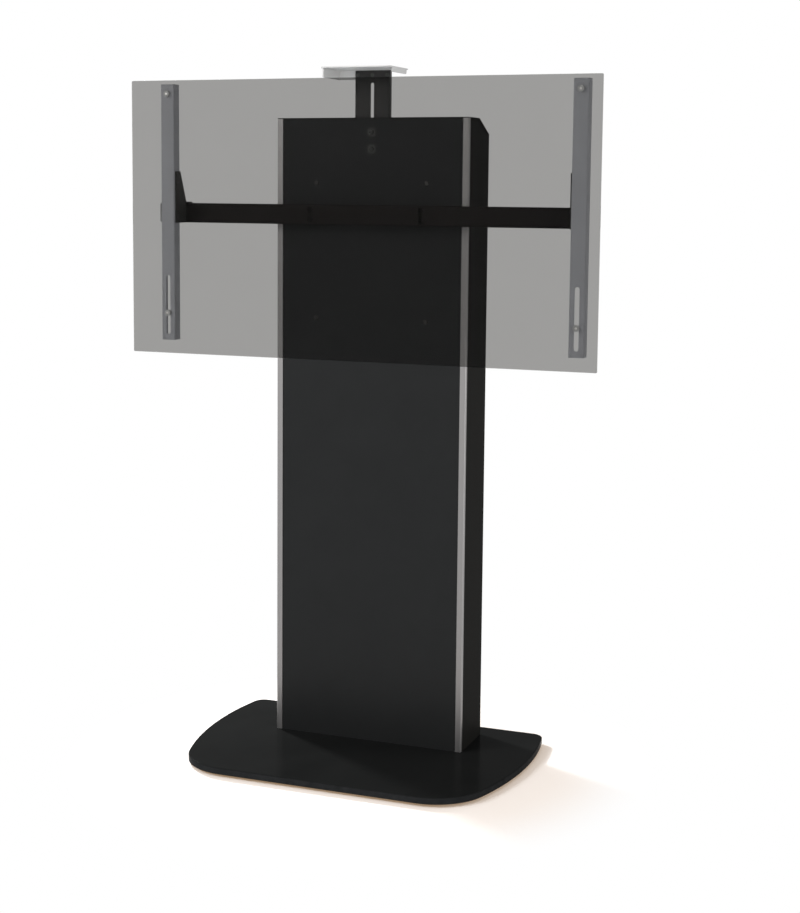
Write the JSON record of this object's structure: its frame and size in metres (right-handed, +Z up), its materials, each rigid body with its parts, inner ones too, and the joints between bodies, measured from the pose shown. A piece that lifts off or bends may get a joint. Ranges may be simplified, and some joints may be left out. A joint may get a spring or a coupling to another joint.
{
  "type": "screen stand",
  "caption": "Free-standing screen stand with a hollow column on a bow-sided base, a crossbar with hook-on arms, a see-through panel and a sliding camera shelf.",
  "frame": {"origin": "on the floor, under the middle of the base plate", "axes": "+Z up, the screen faces -Y, +X to the right seen from the front"},
  "size_m": [1.232, 0.56, 1.742],
  "materials": {
    "base_finish": "semi-gloss black powder coat",
    "column_finish": "satin black powder coat",
    "panel_finish": "satin black lacquer",
    "trim_aluminium": "satin anodised",
    "bar_finish": "satin black powder coat",
    "post_finish": "satin black powder coat",
    "arm_finish": "satin grey powder coat",
    "shelf_finish": "satin light grey powder coat",
    "frame_finish": "satin dark grey paint",
    "fastener_steel": "zinc plated",
    "hinge_steel": "satin black paint",
    "glide_rubber": "matte",
    "black_plastic": "matte",
    "spacer_nylon": "natural nylon",
    "smoked_panel": "smoked, see-through, clear"
  },
  "bodies": {
    "stand": {"base_plate": "base_finish", "glides": "glide_rubber", "base_bolts": "fastener_steel", "foot_plate": "frame_finish", "left_upright": "frame_finish", "right_upright": "frame_finish", "clamp_rail": "frame_finish", "clamp_block": "frame_finish", "lower_rail": "frame_finish", "post_guides": "post_finish", "left_edge_profile": "trim_aluminium", "right_edge_profile": "trim_aluminium", "front_panel": "panel_finish", "panel_screws": "fastener_steel", "left_side_wall": "column_finish", "right_side_wall": "column_finish", "top_cap": "column_finish", "rear_sill": "column_finish", "frame_hinge_leaves": "hinge_steel", "hinge_pins": "fastener_steel", "crossbar": "bar_finish", "left_bar_cap": "black_plastic", "right_bar_cap": "black_plastic", "left_bar_spacer": "bar_finish", "right_bar_spacer": "bar_finish", "crossbar_bolts": "fastener_steel", "clamp_screws": "fastener_steel", "clamp_washers": "fastener_steel", "clamp_nuts": "fastener_steel"},
    "screen": {"left_arm": "arm_finish", "right_arm": "arm_finish", "left_hook": "bar_finish", "right_hook": "bar_finish", "hook_rivets": "fastener_steel", "lock_screws": "black_plastic", "screen_spacers": "spacer_nylon", "screen_screws": "fastener_steel", "screen_panel": "smoked_panel"},
    "camera_mast": {"camera_post": "post_finish", "camera_shelf": "shelf_finish", "shelf_screws": "fastener_steel"},
    "door": {"rear_door": "column_finish", "door_rib": "column_finish", "door_hinge_leaves": "hinge_steel", "lock_body": "fastener_steel"},
    "lock": {"lock_cam": "fastener_steel"}
  },
  "joints": [
    {"name": "screen_slide", "type": "slide", "parent": "stand", "child": "screen", "axis": [1, 0, 0], "range_m": [-0.05, 0]},
    {"name": "mast_slide", "type": "slide", "parent": "stand", "child": "camera_mast", "axis": [0, 0, 1], "range_m": [-0.01, 0.08]},
    {"name": "door_hinge", "type": "hinge", "parent": "stand", "child": "door", "pos_m": [0.23175, 0.2239, 0], "axis": [0, 0, -1], "range_deg": [0, 110]},
    {"name": "lock_turn", "type": "hinge", "parent": "door", "child": "lock", "pos_m": [-0.205, 0.219, 0.769], "axis": [0, -1, 0], "range_deg": [0, 90]}
  ]
}
